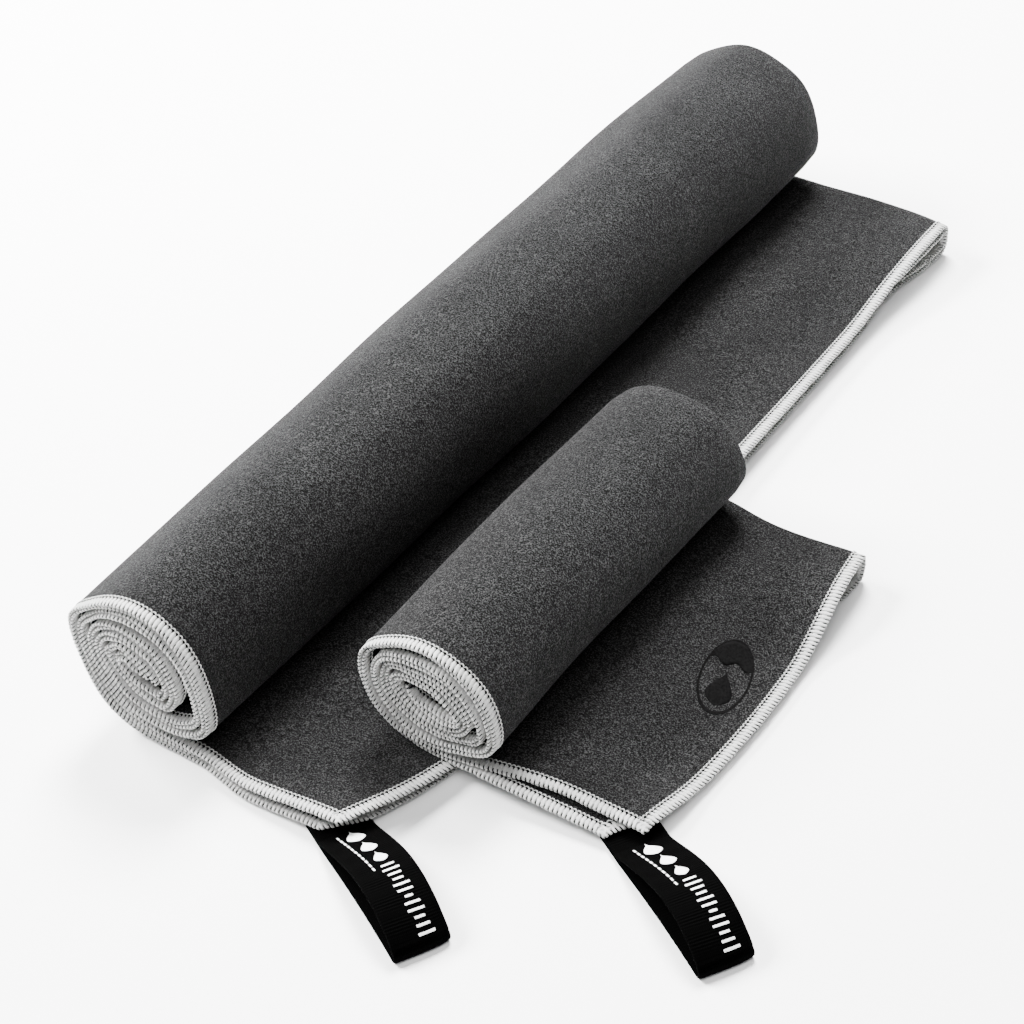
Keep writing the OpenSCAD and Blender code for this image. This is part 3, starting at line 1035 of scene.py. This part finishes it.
# ---------------------------------------------------------------- emblem


EMBLEM_HALF = (18.9, 8.7)
EMBLEM_LEAN = math.radians(12)
EMBLEM_THICKNESS = 0.05
EMBLEM_GAP = 0.03
RING_INSIDE = 0.91
RING_STEPS = 97
SKY_EDGE = 0.95
SKY_ANGLE = 1.2
SKY_WAVE = 1.3
EMBLEM_DROP = (0.22, 0.98, 0.52)  # start, length and half width, as shares of the oval's half sizes
INNER_STEPS = 40


def small_top(x, y, lift):
    """Points just above the small free end's top face, near (x, y)."""
    x, y = np.broadcast_arrays(x, y)
    from_end = small.end_x - x
    p = from_end - small.end_pull(y) * fall(from_end, 0, END_REACH)
    points = small.place(p, y, small.pack - small.pitch / 2)
    return points + np.array([0, 0, CLOTH_THICKNESS / 2 + EMBLEM_GAP + lift])


def oval_emblem():
    """A generic oval mark pressed into the cloth: a ring, a drop in it and a sky over a wavy line. u runs
    along the oval and v across it."""
    low, high = box_mm("small_emblem")
    middle = (low + high) / 2
    half_u, half_v = EMBLEM_HALF
    c, s = math.cos(EMBLEM_LEAN), math.sin(EMBLEM_LEAN)

    def at(u, v, lift):
        return small_top(middle[0] + v * c - u * s, middle[1] + u * c + v * s, lift)

    def oval(angle, scale):
        return np.stack([half_u * scale * np.cos(angle), half_v * scale * np.sin(angle)], 1)

    def ring(scale):
        return lambda t: oval(TURN * t, scale)

    def rim(t):
        return oval(SKY_ANGLE * (2 * t - 1), SKY_EDGE)

    def waterline(t):
        u, v = rim(np.array([0.0]))[0]
        return np.stack([u + SKY_WAVE * np.sin(2 * TURN * t), v - 2 * v * t], 1)

    start, length, half_width = EMBLEM_DROP
    drop = drop_shape(half_u * start, half_u * length, 0, half_v * half_width, way=-1)
    shapes = [(ring(RING_INSIDE), ring(1), RING_STEPS), (waterline, rim, INNER_STEPS), (*drop, INNER_STEPS)]
    return join([patch(at, inner, outer, steps, EMBLEM_THICKNESS) for inner, outer, steps in shapes])


emblem = mesh_piece("small_pressed_emblem", *oval_emblem(), emblem_look)
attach(emblem, "small_flap")
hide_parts("small_emblem")


# ---------------------------------------------------------------- floor, lights and camera

FLOOR_SIZE_M = 6
WORLD_STRENGTH = 0.07

bpy.ops.mesh.primitive_plane_add(size=FLOOR_SIZE_M)
floor = bpy.context.object
floor.name = "studio_floor"
floor.data.materials.append(floor_material())

world = bpy.data.worlds.new("studio")
bpy.context.scene.world = world
world.use_nodes = True
background = world.node_tree.nodes["Background"]
background.inputs["Color"].default_value = (1, 1, 1, 1)
background.inputs["Strength"].default_value = WORLD_STRENGTH


def outward(azimuth, elevation):
    """The direction from the object out to an azimuth and elevation in degrees."""
    az, el = math.radians(azimuth), math.radians(elevation)
    return Vector((math.sin(az) * math.cos(el), -math.cos(az) * math.cos(el), math.sin(el)))


def softbox(name, azimuth, elevation, distance, size, power):
    """An area light that faces the middle of the object. Its distance and size are in metres."""
    way = outward(azimuth, elevation)
    data = bpy.data.lights.new(name, "AREA")
    data.shape = "RECTANGLE"
    data.size, data.size_y = size
    data.energy = power
    light = bpy.data.objects.new(name, data)
    light.location = way * distance
    light.rotation_euler = way.to_track_quat("Z", "Y").to_euler()
    bpy.context.scene.collection.objects.link(light)


softbox("key", azimuth=-148, elevation=54, distance=1.5, size=(0.6, 0.6), power=155)
softbox("side", azimuth=-82, elevation=35, distance=1.6, size=(0.8, 0.5), power=175)
softbox("fill", azimuth=20, elevation=65, distance=1.7, size=(1.2, 1.2), power=30)

CAMERA_AZIMUTH = 34.13
CAMERA_ELEVATION = 40.38
CAMERA_ROLL = -1.82
CAMERA_AIM_M = (-0.05386, -0.0203, 0)
CAMERA_DISTANCE_M = 0.9621
CAMERA_LENS = 93.06
CAMERA_SENSOR = 36


def add_camera():
    """The camera, aimed at a point beside the two rolls."""
    az, roll = math.radians(CAMERA_AZIMUTH), math.radians(CAMERA_ROLL)
    back = outward(CAMERA_AZIMUTH, CAMERA_ELEVATION)
    right = Vector((math.cos(az), math.sin(az), 0))
    up = back.cross(right)
    turned_right = right * math.cos(roll) + up * math.sin(roll)
    turned_up = up * math.cos(roll) - right * math.sin(roll)
    data = bpy.data.cameras.new("camera")
    data.lens = CAMERA_LENS
    data.sensor_width = CAMERA_SENSOR
    camera = bpy.data.objects.new("camera", data)
    rotation = Matrix((turned_right, turned_up, back)).transposed()
    place = Vector(CAMERA_AIM_M) + back * CAMERA_DISTANCE_M
    camera.matrix_world = Matrix.Translation(place) @ rotation.to_4x4()
    bpy.context.scene.collection.objects.link(camera)
    bpy.context.scene.camera = camera


add_camera()
